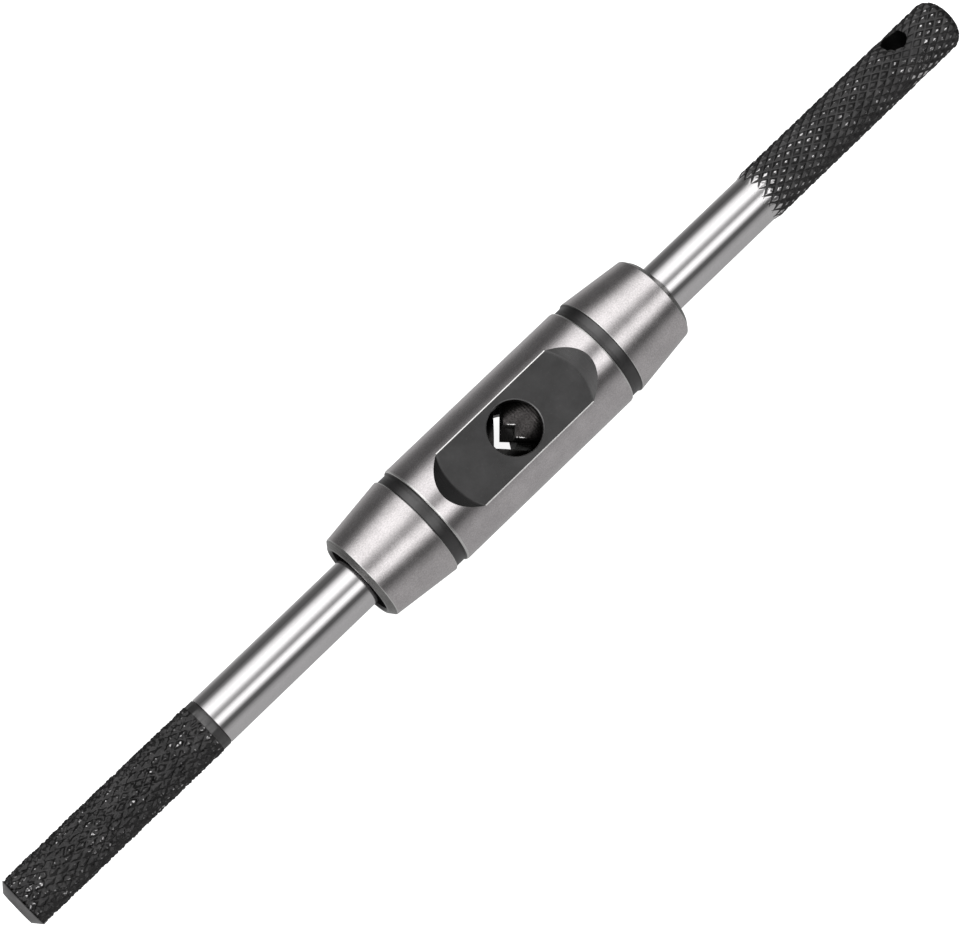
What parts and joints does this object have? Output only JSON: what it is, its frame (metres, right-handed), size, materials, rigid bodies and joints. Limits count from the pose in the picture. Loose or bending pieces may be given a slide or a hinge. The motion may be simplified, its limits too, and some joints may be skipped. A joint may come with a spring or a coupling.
{
  "type": "tap wrench",
  "caption": "Straight tap wrench with a cylindrical body, a round tap hole in a milled window, two facing vee jaws and two round handles with knurled ends; turning one handle moves a jaw.",
  "frame": {"origin": "where the tap's axis crosses the tool's long axis, in the middle of the round tap hole; the tool's centre of mass lies within 1 mm of it", "axes": "+X along the tool towards the handle that turns, +Z along the tap out of the upper window, +Y across the tool"},
  "size_m": [0.1851, 0.0168, 0.0168],
  "materials": {
    "ground_steel": "satin, ground around the axis",
    "polished_steel": "polished bare steel",
    "black_oxide": "black oxide, diamond knurled",
    "jaw_steel": "dark hardened steel with turning marks",
    "bush_steel": "dark turned steel",
    "pin_steel": "plain bright steel"
  },
  "bodies": {
    "frame": {"body": "ground_steel", "fixed_jaw": "jaw_steel", "fixed_jaw_pin": "pin_steel", "jaw_key": "pin_steel", "screw_bush": "bush_steel", "bush_pin": "pin_steel", "fixed_handle": "polished_steel", "fixed_grip": "black_oxide"},
    "jaw": {"moving_jaw": "jaw_steel", "jaw_pin_a": "pin_steel", "jaw_pin_b": "pin_steel"},
    "handle": {"moving_handle": "polished_steel"}
  },
  "joints": [
    {"name": "jaw_slide", "type": "slide", "parent": "frame", "child": "jaw", "axis": [1, 0, 0], "range_m": [-0.0017, 0.0036]},
    {"name": "handle_turn", "type": "hinge", "parent": "jaw", "child": "handle", "pos_m": [0.0087, 0, 0], "axis": [1, 0, 0], "range_deg": [-489.5, 1036.7]}
  ],
  "couplings": [
    {"joint": "jaw_slide", "follows": "handle_turn", "m_per_rad": 0.00019894}
  ]
}
